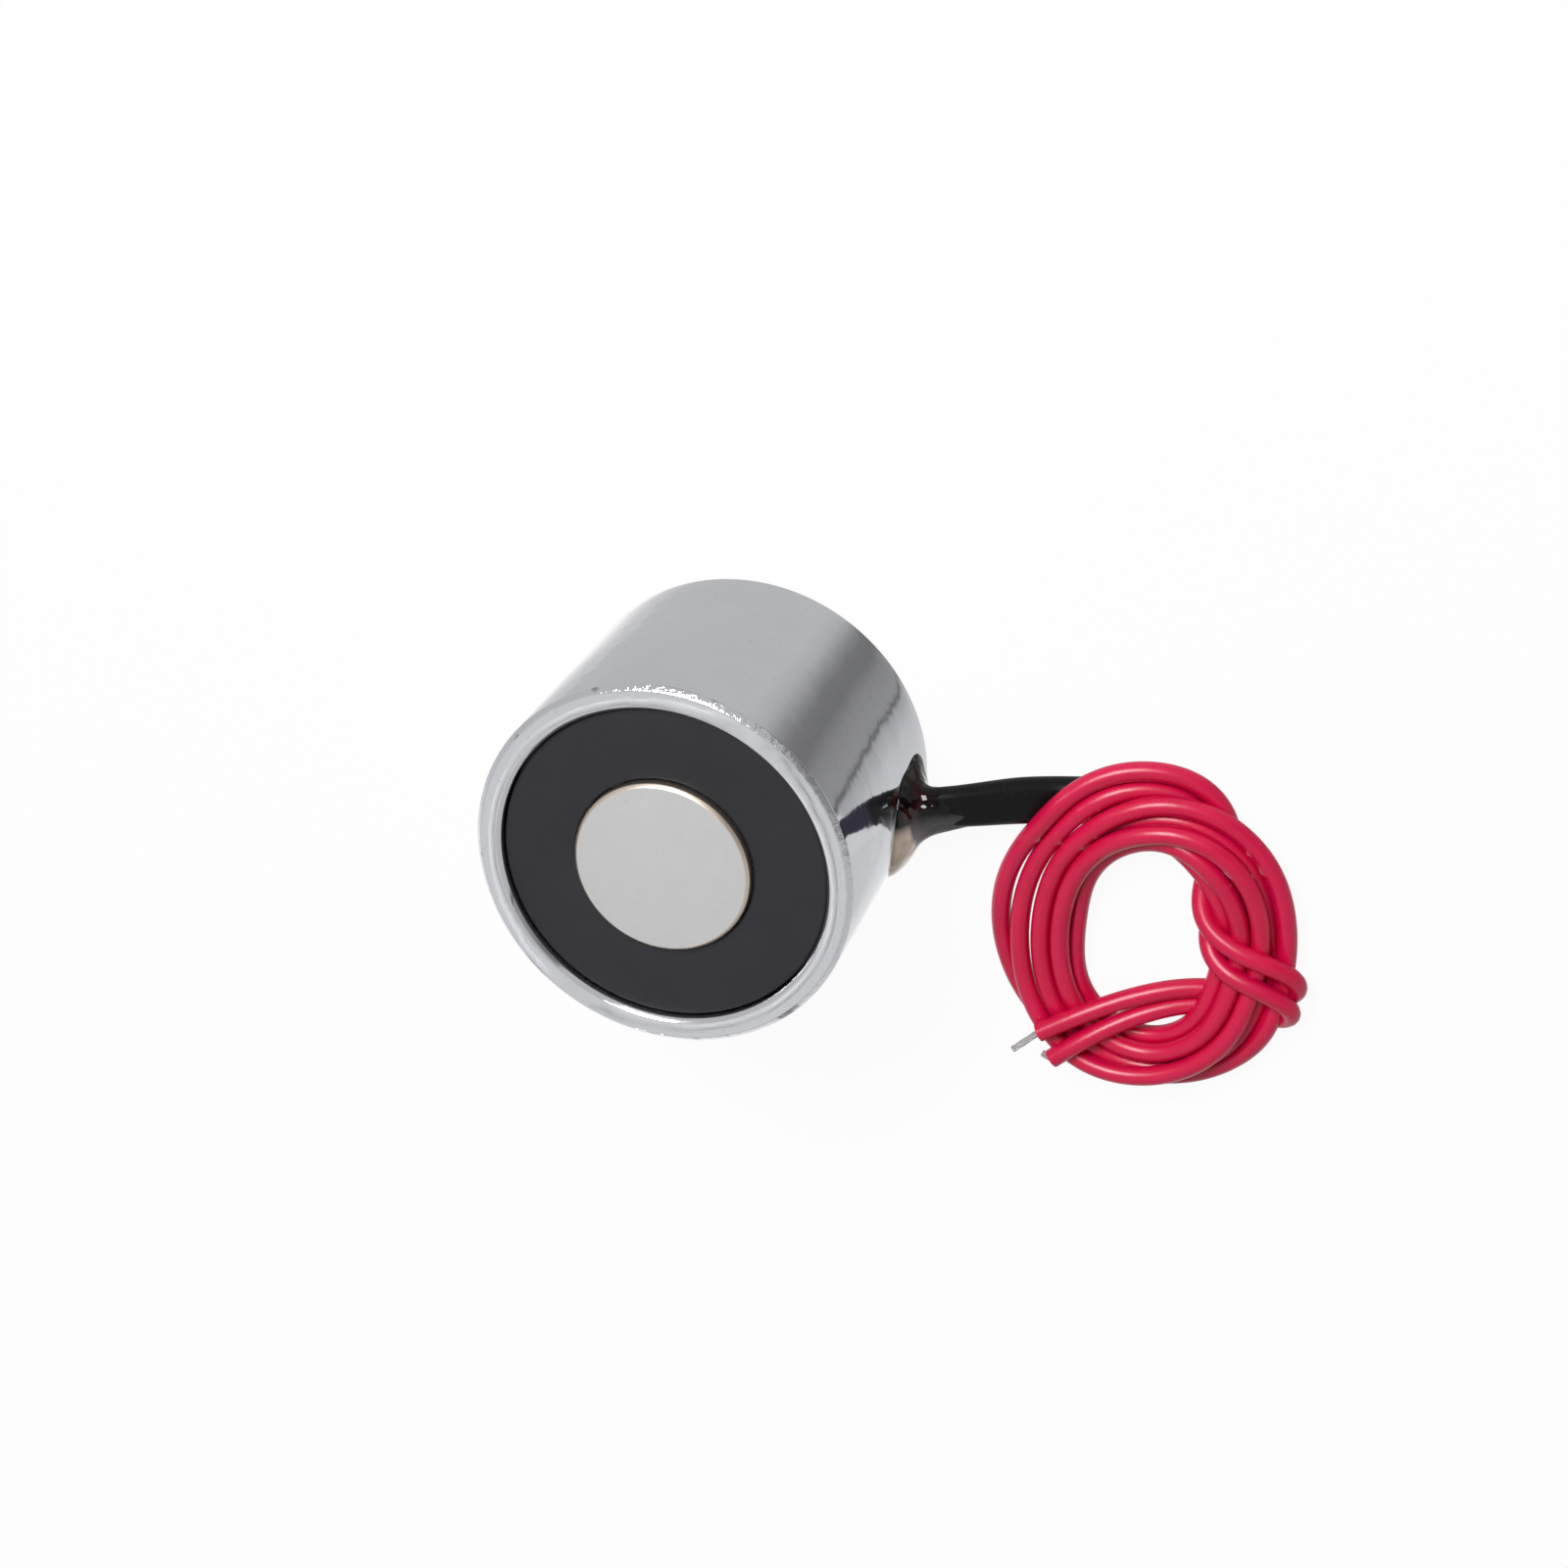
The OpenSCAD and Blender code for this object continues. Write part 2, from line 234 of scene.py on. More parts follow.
def blackSleeve():
    board = newBoard("black_sleeve")
    specks = board.span(board.noise(5200.0, 2.0), 0.66, 0.74)
    cloud = board.noise(500.0, 3.0)
    colour = board.mix(specks * 0.5, (0.0042, 0.0040, 0.0050, 1.0), (0.06, 0.055, 0.055, 1.0))
    return board.finish(
        Base_Color=colour, Roughness=0.30 + 0.14 * cloud, Specular_IOR_Level=0.17,
        Normal=board.bump(board.noise(1800.0, 3.0), 0.00001))


def redInsulation():
    board = newBoard("red_insulation")
    cloud = board.noise(300.0, 3.0)
    fine = board.noise(2400.0, 2.0)
    colour = board.ramp(cloud, [(0.3, (0.55, 0.001, 0.048)), (0.7, (0.61, 0.002, 0.058))])
    return board.finish(
        Base_Color=colour, Roughness=0.26 + 0.10 * fine, Specular_IOR_Level=0.5,
        Normal=board.bump(fine, 0.000006))


def tinnedCopper():
    board = newBoard("tinned_copper")
    cloud = board.noise(1500.0, 2.0)
    colour = board.ramp(cloud, [(0.3, (0.40, 0.38, 0.38)), (0.7, (0.52, 0.50, 0.50))])
    return board.finish(Base_Color=colour, Metallic=1.0, Roughness=0.58 + 0.1 * cloud)


def copperWinding():
    board = newBoard("copper_wire")
    z = board.axes()[2]
    waves = board.node("ShaderNodeMath", {"operation": "SINE"}, [z * 22000.0])
    cloud = board.noise(300.0, 2.0)
    colour = board.ramp(cloud, [(0.3, (0.50, 0.17, 0.07)), (0.7, (0.62, 0.24, 0.11))])
    return board.finish(
        Base_Color=colour, Metallic=1.0, Roughness=0.28 + 0.1 * cloud, Normal=board.bump(waves, 0.00004))


def plainPlastic(name, low, high, rough):
    board = newBoard(name)
    cloud = board.noise(400.0, 3.0)
    colour = board.ramp(cloud, [(0.3, low), (0.7, high)])
    return board.finish(Base_Color=colour, Roughness=rough + 0.1 * cloud)


finishes = {
    "plated": platedSteel(), "ground": groundSteel(), "ring": blackPlastic(), "seal": sealResin(),
    "sleeve": blackSleeve(), "lead": redInsulation(), "tin": tinnedCopper(), "copper": copperWinding(),
    "bobbin": plainPlastic("bobbin_plastic", grey(0.55), grey(0.62), 0.45),
    "tape": plainPlastic("amber_tape", (0.42, 0.20, 0.04), (0.50, 0.26, 0.06), 0.25),
    "potting": plainPlastic("potting_resin", (0.012, 0.011, 0.010), (0.020, 0.018, 0.016), 0.30)}
print("materials:", len(finishes))


def addObject(name, data):
    piece = bpy.data.objects.new(name, data)
    bpy.context.scene.collection.objects.link(piece)
    return piece


def meshFrom(name, bm):
    mesh = bpy.data.meshes.new(name)
    bm.to_mesh(mesh)
    bm.free()
    return mesh


def addMesh(name, bm, finish, angle=28.0):
    bmesh.ops.recalc_face_normals(bm, faces=bm.faces)
    mesh = meshFrom(name, bm)
    mesh.shade_smooth()
    mesh.set_sharp_from_angle(angle=math.radians(angle))
    mesh.materials.append(finishes[finish])
    return addObject(name, mesh)


def lathe(profile, steps, closed=True):
    bm = bmesh.new()
    verts = [bm.verts.new((r * mm, 0.0, z * mm)) for r, z in profile]
    edges = [bm.edges.new(pair) for pair in zip(verts, verts[1:])]
    if closed:
        edges.append(bm.edges.new((verts[-1], verts[0])))
    bmesh.ops.spin(
        bm, geom=verts + edges, cent=(0.0, 0.0, 0.0), axis=(0.0, 0.0, 1.0), angle=2.0 * math.pi,
        steps=steps, use_merge=True)
    bmesh.ops.remove_doubles(bm, verts=bm.verts, dist=1e-7)
    bmesh.ops.recalc_face_normals(bm, faces=bm.faces)
    return bm


def soften(bm, offset, segments, least=0.3):
    sharp = [edge for edge in bm.edges if len(edge.link_faces) == 2 and edge.calc_face_angle() > least]
    bmesh.ops.bevel(
        bm, geom=sharp, offset=offset * mm, offset_type="OFFSET", segments=segments, profile=0.5,
        affect="EDGES", material=-1, clamp_overlap=True)


def finalMesh(piece):  # the mesh with its modifiers worked in
    bpy.context.view_layer.update()
    depsgraph = bpy.context.evaluated_depsgraph_get()
    return bpy.data.meshes.new_from_object(piece.evaluated_get(depsgraph))


def cutRound(piece, radius, start, end, height):
    bm = bmesh.new()
    lying = Matrix.Rotation(math.pi / 2, 4, "Y")
    place = Matrix.Translation(((start + end) / 2 * mm, 0.0, height * mm)) @ lying
    bmesh.ops.create_cone(
        bm, cap_ends=True, segments=64, radius1=radius * mm, radius2=radius * mm,
        depth=(end - start) * mm, matrix=place)
    cutter = addObject("cutter", meshFrom("cutter", bm))
    hole = piece.modifiers.new("hole", "BOOLEAN")
    hole.operation = "DIFFERENCE"
    hole.object = cutter
    hole.solver = "EXACT"
    piece.data = finalMesh(piece)
    piece.modifiers.clear()
    bpy.data.objects.remove(cutter)


def smoothPart(a, b, c, d, part):  # on the smooth line through four values, between b and c
    return b + 0.5 * part * (c - a + part * (2 * a - 5 * b + 4 * c - d + part * (3 * (b - c) + d - a)))


magnet = {
    "steps": 192, "outer": 15.0, "height": 22.0, "bore": 13.0, "floor": 3.4, "back": 0.5, "rim": 0.4,
    "mouth": 0.3, "spigot": 4.5, "edge": 0.07, "hole": 2.125, "holeFrom": 11.0, "holeTo": 17.0,
    "bandFrom": 2.4, "band": 0.4, "bands": 17}  # short faces round the lead hole


def makeShell(s):
    wall = [(s["outer"], s["bandFrom"] + s["band"] * step) for step in range(s["bands"])]
    bm = lathe([
        (s["spigot"], 0.0), (s["outer"] - s["back"], 0.0), (s["outer"], s["back"]), *wall,
        (s["outer"], s["height"] - s["rim"]), (s["outer"] - s["rim"], s["height"]),
        (s["bore"] + s["mouth"], s["height"]), (s["bore"], s["height"] - s["mouth"]),
        (s["bore"], s["floor"]), (s["spigot"], s["floor"])], s["steps"])
    soften(bm, s["edge"], 3)
    piece = addMesh("shell_body", bm, "plated")
    cutRound(piece, s["hole"], s["holeFrom"], s["holeTo"], exitZ)
    return piece


shell = makeShell(magnet)
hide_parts("shell")

pole = {
    "steps": 160, "radius": 7.0, "bevel": 0.25, "tap": 1.65, "depth": 9.0, "tip": 9.99, "mouth": 0.4,
    "edge": 0.05, "pitch": 0.7, "flank": 0.42, "ridge": 0.22, "crest": 0.06, "root": 0.03, "turns": 12,
    "short": 0.6, "rungs": 48, "threadStart": 0.5}


def makeCore(s, m):
    bm = lathe([
        (0.0, s["tip"]), (s["tap"], s["depth"]), (s["tap"], s["mouth"]), (s["tap"] + s["mouth"], 0.0),
        (m["spigot"], 0.0), (m["spigot"], m["floor"]), (s["radius"], m["floor"]),
        (s["radius"], m["height"] - s["bevel"]), (s["radius"] - s["bevel"], m["height"]),
        (0.0, m["height"])], s["steps"], closed=False)
    soften(bm, s["edge"], 3)
    return addMesh("core_pole", bm, "ground")


def makeThread(s):
    bm = bmesh.new()
    half = s["pitch"] * s["flank"]
    root = s["tap"] + s["root"]
    crest = s["tap"] - s["ridge"]
    corners = [(root, -half), (crest, -s["crest"]), (crest, s["crest"]), (root, half)]
    verts = [bm.verts.new((r * mm, 0.0, (s["threadStart"] + half + z) * mm)) for r, z in corners]
    face = bm.faces.new(verts)
    bmesh.ops.spin(
        bm, geom=[face], cent=(0.0, 0.0, 0.0), axis=(0.0, 0.0, 1.0),
        dvec=(0.0, 0.0, s["pitch"] / s["rungs"] * mm), angle=2.0 * math.pi * (s["turns"] - s["short"]),
        steps=s["rungs"] * s["turns"], use_duplicate=False)
    return addMesh("mount_thread", bm, "ground")


core = makeCore(pole, magnet)
thread = makeThread(pole)
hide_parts("core")

ring = {"steps": 160, "inner": 7.12, "outer": 12.88, "bottom": 20.4, "top": 21.3, "edge": 0.25}


def makeRing(s):
    bm = lathe([
        (s["inner"], s["bottom"]), (s["outer"], s["bottom"]), (s["outer"], s["top"]),
        (s["inner"], s["top"])], s["steps"])
    soften(bm, s["edge"], 5)
    return addMesh("face_ring_cover", bm, "ring", 60.0)


faceRing = makeRing(ring)
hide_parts("face_ring")
print("magnet body: shell, core, thread, face ring")

sleeveSpec = {
    "wide": 1.975, "tall": 1.15, "pinch": 0.10, "pinchWide": 0.35, "flatWithin": 0.2, "corners": 40,
    "squeezed": 0.82, "squeezedTo": 16.5, "fullFrom": 23.5,
    "route": [
        (12.2, 0.0, exitZ), (14.6, 0.0, exitZ), (16.4, 0.1, 5.4), (18.0, 0.2, 4.9), (19.6, 0.3, 4.2),
        (21.2, 0.4, 3.4), (22.8, 0.5, 2.6), (24.4, 0.5, 1.9), (25.8, 0.5, 1.35), (27.1, 0.6, 1.15),
        (28.3, 0.8, 1.15)]}


def sleeveSize(x):  # the sleeve is squeezed at the seal
    s = sleeveSpec
    return float(np.interp(x, [s["squeezedTo"], s["fullFrom"]], [s["squeezed"], 1.0]))


def sleeveAt(x):
    route = np.array(sleeveSpec["route"])
    return [float(np.interp(x, route[:, 0], route[:, axis])) for axis in (1, 2)], sleeveSize(x)


seal = {
    "segments": 96, "rings": 28, "bulge": 1.25, "climb": 2.3, "lean": 1.0, "ragged": 0.25, "reach": 0.10,
    "wave": 0.07, "follow": 0.25, "sunk": 0.15, "coat": 0.05, "lowest": 5.0, "plug": 0.94, "plugDepth": 2.0,
    "closer": 1.7, "inside": (1.3, 0.7, 1.0),
    "foot": [3.4, 4.0, 4.4, 5.0, 6.6, 7.2, 5.3, 4.5]}  # radius every 45 degrees from +Y through +Z


def sealFoot(s, turn):  # smooth closed outline through the eight radii, kept off the lower edge
    place = turn / (2.0 * math.pi) * len(s["foot"])
    first = int(math.floor(place))
    radii = [s["foot"][(first + step) % len(s["foot"])] for step in (-1, 0, 1, 2)]
    reach = smoothPart(*radii, place - first)
    drop = max(0.0, -math.sin(turn)) * reach
    return reach / (1.0 + (drop / s["lowest"]) ** 8.0) ** 0.125


def onWall(across, along, lift, shift=(0.0, 0.0)):  # unrolled shell wall to space
    radius = magnet["outer"] + lift
    turn = across / radius
    return Vector((
        radius * math.cos(turn) * mm, (radius * math.sin(turn) + shift[0]) * mm,
        (exitZ + along + shift[1]) * mm))


def sealPoint(s, turn, share):  # share 0 at the sleeve, 1 at the foot
    hollow = 0.5 + 0.5 * math.cos(turn)
    lift = s["bulge"] * ((1.0 - hollow) * (1.0 - share ** 2.2) ** 0.7 + hollow * (1.0 - share) ** 1.2)
    lift *= 1.0 + s["wave"] * math.sin(3.0 * turn + 0.8)
    climb = s["climb"] - s["lean"] * math.cos(turn) + s["ragged"] * math.sin(7.0 * turn)
    lift += climb * math.exp(-share / s["reach"])
    middle, size = sleeveAt(magnet["outer"] + lift)
    wide = size * sleeveSpec["wide"] + s["coat"]
    tall = size * sleeveSpec["tall"] + s["coat"]
    neck = 1.0 / math.hypot(math.cos(turn) / wide, math.sin(turn) / tall)
    reach = neck + (sealFoot(s, turn) - neck) * share
    follow = math.exp(-share / s["follow"])
    shift = (middle[0] * follow, (middle[1] - exitZ) * follow)
    return onWall(reach * math.cos(turn), reach * math.sin(turn), lift, shift)


def makeSeal(s):
    bm = bmesh.new()
    turns = [2.0 * math.pi * step / s["segments"] for step in range(s["segments"])]
    plug = s["plug"] * magnet["hole"]
    loops = []
    for lift in (-s["plugDepth"], -s["sunk"]):
        loops.append([onWall(plug * math.cos(t), plug * math.sin(t), lift) for t in turns])
    feet = [(sealFoot(s, turn), turn) for turn in turns]
    loops.append([onWall(reach * math.cos(t), reach * math.sin(t), -s["sunk"]) for reach, t in feet])
    for step in range(s["rings"] + 1):
        share = (1.0 - step / s["rings"]) ** s["closer"]
        loops.append([sealPoint(s, turn, share) for turn in turns])
    wide, tall, lift = s["inside"]  # it ends inside the sleeve
    loops.append([onWall(wide * math.cos(t), tall * math.sin(t), lift) for t in turns])
    ringVerts = bmesh.ops.create_circle(bm, cap_ends=True, segments=s["segments"], radius=mm)["verts"]
    for vert, place in zip(ringVerts, loops[0]):
        vert.co = place
    edges = list(bm.edges)
    for loop in loops[1:]:
        grown = bmesh.ops.extrude_edge_only(bm, edges=edges)["geom"]
        edges = [item for item in grown if isinstance(item, bmesh.types.BMEdge)]
        fresh = [item for item in grown if isinstance(item, bmesh.types.BMVert)]
        old = {vert: index for index, vert in enumerate(ringVerts)}
        placed = []
        for vert in fresh:
            source = next(edge.other_vert(vert) for edge in vert.link_edges if edge.other_vert(vert) in old)
            placed.append((old[source], vert))
        ringVerts = [vert for index, vert in sorted(placed, key=lambda item: item[0])]
        for vert, place in zip(ringVerts, loop):
            vert.co = place
    bmesh.ops.contextual_create(bm, geom=edges)
    return addMesh("seal_bead", bm, "seal", 70.0)


sealBead = makeSeal(seal)
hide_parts("exit_seal")
print("exit seal")


def addCurve(name, kind, points, cyclic=False):
    curve = bpy.data.curves.new(name, "CURVE")
    curve.dimensions = "3D"
    spline = curve.splines.new(kind)
    spline.points.add(len(points) - 1)
    for point, place in zip(spline.points, points):
        point.co = (place[0] * mm, place[1] * mm, place[2] * mm, 1.0)
    spline.use_cyclic_u = cyclic
    spline.use_endpoint_u = not cyclic
    spline.order_u = 4
    spline.resolution_u = 4
    return curve


def makeSleeve(s):
    section = []
    flat = s["wide"] - s["tall"]
    for step in range(s["corners"]):
        turn = 2.0 * math.pi * step / s["corners"]
        out = math.cos(turn)
        side = flat * out if abs(out) <= s["flatWithin"] else math.copysign(flat, out)
        dip = s["pinch"] * math.exp(-(out / s["pinchWide"]) ** 2)
        section.append((side + s["tall"] * out, (s["tall"] - dip) * math.sin(turn), 0.0))
    outline = addObject("sleeve_section", addCurve("sleeve_section", "NURBS", section, True))
    curve = addCurve("sleeve_route", "NURBS", s["route"])
    curve.bevel_mode = "OBJECT"
    curve.bevel_object = outline
    curve.twist_mode = "Z_UP"
    curve.use_fill_caps = True
    curve.splines[0].resolution_u = 10
    for point, place in zip(curve.splines[0].points, s["route"]):
        point.radius = sleeveSize(place[0])
    rail = addObject("sleeve_route", curve)
    mesh = finalMesh(rail)
    bpy.data.objects.remove(rail)
    bpy.data.objects.remove(outline)
    bm = bmesh.new()
    bm.from_mesh(mesh)
    bmesh.ops.remove_doubles(bm, verts=bm.verts, dist=1e-7)
    return addMesh("sleeve_tube", bm, "sleeve", 50.0)


sleeve = makeSleeve(sleeveSpec)
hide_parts("lead_sleeve")
print("sleeve")

leads = {
    "radius": 0.8, "side": 0.825, "spacing": 1.2, "sleeveEnd": 28.3, "sleeveRadius": 1.15,
    "inside": [(9.34, 4.22), (9.82, 3.58), (10.5, 2.2), (11.3, 1.175), (11.9, 0.825)],
    "centre": (34.0, -9.8),  # reach of each lead from the centre at top, right, bottom, left, and so on
    "reachA": [9.7, 6.9, 11.8, 6.1, 11.2, 8.0, 11.5, 7.4, 10.9, 9.6, 12.0, 10.4, 13.4],
    "reachB": [10.6, 8.0, 12.1, 7.2, 11.8, 9.2, 12.2, 8.6, 12.0, 10.5, 12.7, 12.4, 13.8],
    "height": [0.9, 2.8, 0.9, 0.9, 2.4, 4.4, 2.4, 2.4, 4.0, 6.0, 3.6, 1.6, 2.6],
    "turns": 3, "perTurn": 16, "liftA": 1.6, "liftB": 3.0, "liftAt": 11.7, "liftFor": 0.4,  # over the sleeve
    "riseA": [(29.4, 1.5, 1.0), (30.6, 0.8, 0.8), (32.4, 0.2, 0.8)],
    "riseB": [(29.2, 0.3, 1.8), (30.2, 1.3, 2.4), (31.2, 1.7, 1.9), (32.6, 1.3, 0.9)],
    "tieA": [  # once round the ring's right side, and across it
        (36.4, 3.3, 1.2), (38.0, 1.4, 0.9), (38.9, -0.6, 0.8), (39.2, -2.6, 0.8), (38.7, -4.4, 0.9),
        (37.8, -5.9, 1.6), (37.6, -7.0, 3.0), (38.2, -7.8, 5.4), (40.0, -8.3, 8.0), (42.3, -8.8, 8.4),
        (44.4, -9.8, 8.0), (46.6, -10.9, 5.0), (47.3, -12.0, 2.4), (46.7, -13.3, 1.2), (44.8, -13.9, 0.8),
        (42.0, -14.0, 0.8), (39.7, -13.8, 0.9), (38.0, -14.1, 1.8), (35.2, -14.9, 3.4), (31.7, -16.4, 5.4),
        (28.8, -17.9, 5.6), (26.2, -19.6, 5.0)],
    "tieB": [
        (36.5, 3.9, 2.6), (38.5, 2.2, 2.2), (39.9, -0.2, 1.0), (40.6, -2.6, 0.8), (40.4, -5.0, 0.8),
        (39.7, -7.2, 0.8), (38.9, -8.8, 1.2), (38.5, -9.9, 2.6), (38.9, -10.8, 5.2), (40.8, -11.4, 8.0),
        (42.9, -12.2, 8.4), (44.6, -13.1, 8.0), (46.6, -13.9, 4.8), (47.2, -15.0, 2.4), (46.4, -16.1, 1.0),
        (44.2, -16.2, 0.8), (41.8, -15.6, 0.8), (39.5, -15.3, 1.0), (36.7, -15.8, 2.4), (33.9, -17.0, 4.6),
        (31.1, -18.7, 5.6), (29.1, -20.1, 5.6), (27.1, -21.5, 5.0)]}


def sleeveLane(side):  # the sleeve's route moved sideways
    route = np.array(sleeveSpec["route"])
    along = np.gradient(route[:, :2], axis=0)
    along /= np.linalg.norm(along, axis=1)[:, None]
    lane = route.copy()
    lane[:, 0] -= along[:, 1] * side
    lane[:, 1] += along[:, 0] * side
    return [tuple(point) for point in lane]


def between(values, place):  # smooth reading of a list
    first = min(int(place), len(values) - 2)
    four = [values[min(max(first + step, 0), len(values) - 1)] for step in (-1, 0, 1, 2)]
    return smoothPart(*four, place - first)


def turnPoints(s, reaches, lift):  # the turns, clockwise from the top
    points = []
    for step in range(1, s["turns"] * s["perTurn"]):
        quarter = 4 * step / s["perTurn"]
        angle = math.radians(90.0 - 90.0 * quarter)
        reach = between(reaches, quarter)
        overSleeve = lift * math.exp(-((quarter - s["liftAt"]) / s["liftFor"]) ** 2)
        points.append((
            s["centre"][0] + reach * math.cos(angle), s["centre"][1] + reach * math.sin(angle),
            between(s["height"], quarter) + overSleeve))
    return points


def evenly(points, spacing, fineness=12):  # a smooth line through the points, cut at even steps
    corners = np.array(points)
    padded = np.vstack([2 * corners[0] - corners[1], corners, 2 * corners[-1] - corners[-2]])
    fine = []
    for index in range(1, len(padded) - 2):
        for part in np.linspace(0.0, 1.0, fineness, endpoint=False):
            fine.append(smoothPart(*padded[index - 1:index + 3], part))
    fine.append(corners[-1])
    fine = np.array(fine)
    steps = np.concatenate([[0.0], np.cumsum(np.linalg.norm(np.diff(fine, axis=0), axis=1))])
    marks = np.linspace(0.0, steps[-1], int(round(steps[-1] / spacing)) + 1)
    return np.column_stack([np.interp(marks, steps, fine[:, axis]) for axis in range(3)])


laying = {
    "rounds": 220, "stages": 3, "quickRounds": 60, "sink": 0.03, "pull": 0.10, "calmPull": 0.03,
    "calmFrom": 0.85, "stretch": 0.25, "push": 0.35, "most": 0.25, "sweeps": 2, "calmSweeps": 4,
    "lookWithin": 4.0, "lookEvery": 10, "skip": 4, "heldPoints": 40, "least": 0.05, "pressed": 0.15,
    "easeFrom": 20, "easings": 4, "ease": 0.5,
    "stiff": ((1, 0.25), (2, 0.12), (4, 0.10))}  # steps to each side, and their weight


def settle(s, how, paths, rounds):  # strands drop onto the floor, the sleeve and each other
    counts = [len(path) for path in paths]
    line = np.vstack(paths)
    aim = line.copy()
    lead = np.repeat(np.arange(len(paths)), counts)
    order = np.concatenate([np.arange(count) for count in counts])
    held = (line[:, 0] < s["sleeveEnd"]) & (order < how["heldPoints"])
    radius = np.where(held, s["sleeveRadius"], s["radius"])
    free = np.where(held, 0.0, 1.0)[:, None]
    first, second = np.triu_indices(len(line), 1)
    near = (lead[first] == lead[second]) & (np.abs(order[first] - order[second]) < how["skip"])
    keep = ~near & ~(held[first] & held[second])
    pairs = np.column_stack([first[keep], second[keep]])
    joined = np.nonzero(lead[1:] == lead[:-1])[0]
    lengths = np.linalg.norm(line[joined + 1] - line[joined], axis=1)
    spans = []
    for step, weight in how["stiff"]:
        last = np.repeat(counts, counts) - 1
        middle = np.nonzero((order >= step) & (order <= last - step))[0]
        rest = (aim[middle - step] + aim[middle + step]) / 2 - aim[middle]
        spans.append((middle, step, weight, rest * (1.0, 1.0, 0.0)))
    for turn in range(rounds):
        calm = turn > how["calmFrom"] * rounds
        if turn % how["lookEvery"] == 0:
            gap = np.linalg.norm(line[pairs[:, 1]] - line[pairs[:, 0]], axis=1)
            first, second = pairs[gap < how["lookWithin"]].T
            reach = radius[first] + radius[second]
        line[:, 2] -= (0.0 if calm else how["sink"]) * free[:, 0]
        line[:, :2] += (how["calmPull"] if calm else how["pull"]) * (aim - line)[:, :2] * free
        for middle, step, weight, rest in spans:
            bend = (line[middle - step] + line[middle + step]) / 2 - line[middle]
            line[middle] += weight * (bend - rest) * free[middle]
        for sweep in range(how["calmSweeps"] if calm else how["sweeps"]):
            gap = line[joined + 1] - line[joined]
            size = np.linalg.norm(gap, axis=1)
            push = gap * ((size - lengths) / size)[:, None] * how["stretch"]
            line[joined] += push * free[joined]
            line[joined + 1] -= push * free[joined + 1]
            gap = line[second] - line[first]
            size = np.linalg.norm(gap, axis=1)
            hit = size < reach
            share = (reach[hit] - size[hit]) / np.maximum(size[hit], how["least"])
            push = gap[hit] * share[:, None] * how["push"]
            moved = np.zeros_like(line)
            np.add.at(moved, second[hit], push)
            np.add.at(moved, first[hit], -push)
            line += np.clip(moved, -how["most"], how["most"]) * free
            line[:, 2] = np.where(held, line[:, 2], np.maximum(line[:, 2], radius))
    gap = np.linalg.norm(line[second] - line[first], axis=1) - reach
    pressed = int((gap < -how["pressed"]).sum())
    print("leads settled: closest", round(float(gap.min()), 3), "overlaps", pressed)
    return np.split(line, np.cumsum(counts)[:-1])


def eased(path, how):  # takes small kinks out of the free part
    start = how["easeFrom"]
    for sweep in range(how["easings"]):
        middle = (path[:-2] + path[2:]) / 2
        path[start:-1] += how["ease"] * (middle - path[1:-1])[start - 1:]
    return path


def leadStart(s, side):
    inside = [(x, side * y, exitZ) for x, y in s["inside"]]
    return inside + sleeveLane(side * s["side"])[1:]


def leadRoute(s, side, name):
    turns = turnPoints(s, s["reach" + name], s["lift" + name])
    return leadStart(s, side) + s["rise" + name] + turns + s["tie" + name]


routes = [leadRoute(leads, 1.0, "A"), leadRoute(leads, -1.0, "B")]
paths = [evenly(points, leads["spacing"]) for points in routes]
for stage in range(laying["stages"]):
    paths = settle(leads, laying, paths, laying["rounds"])
    paths = [evenly(eased(path, laying), leads["spacing"]) for path in paths]


def makeLead(name, path):
    curve = addCurve(name, "NURBS", path)
    curve.bevel_depth = leads["radius"] * mm
    curve.bevel_resolution = 5
    curve.use_fill_caps = True
    curve.splines[0].use_smooth = True
    curve.materials.append(finishes["lead"])
    return addObject(name, curve)


leadA = makeLead("lead_red_a", paths[0])
leadB = makeLead("lead_red_b", paths[1])
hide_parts("lead_a", "tail_a", "lead_coil")
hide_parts("lead_b", "tail_b")

tips = {
    "wire": 0.105, "lay": 0.17, "pitch": 8.0, "steps": 40, "inside": 0.2, "lengthA": 2.8, "lengthB": 1.1,
    "aimA": (-0.73, -0.65, 0.20), "aimB": (-0.90, 0.42, 0.05)}


def makeTip(name, path, length, aim, s):  # twisted wires, six round one
    bm = bmesh.new()
    for index in range(7):
        turn = index * math.pi / 3
        shift = 0.0 if index == 6 else s["lay"]
        place = Matrix.Translation((shift * math.cos(turn) * mm, shift * math.sin(turn) * mm, 0.0))
        made = bmesh.ops.create_circle(bm, cap_ends=True, segments=10, radius=s["wire"] * mm, matrix=place)
        faces = list({face for vert in made["verts"] for face in vert.link_faces})
        bmesh.ops.spin(
            bm, geom=faces, cent=(0.0, 0.0, 0.0), axis=(0.0, 0.0, 1.0),
            dvec=(0.0, 0.0, length / s["steps"] * mm), angle=2.0 * math.pi * length / s["pitch"],
            steps=s["steps"], use_duplicate=False)
    heading = Vector(aim).normalized()
    start = Vector(path[-1]) - heading * s["inside"]
    place = Matrix.Translation(start * mm) @ heading.to_track_quat("Z", "Y").to_matrix().to_4x4()
    bmesh.ops.transform(bm, matrix=place, verts=bm.verts)
    return addMesh(name, bm, "tin", 60.0)


tipA = makeTip("tip_wires_a", paths[0], tips["lengthA"], tips["aimA"], tips)
tipB = makeTip("tip_wires_b", paths[1], tips["lengthB"], tips["aimB"], tips)
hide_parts("tip_a")
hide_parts("tip_b")


def pathLength(path):
    return float(np.linalg.norm(np.diff(path, axis=0), axis=1).sum()) * mm


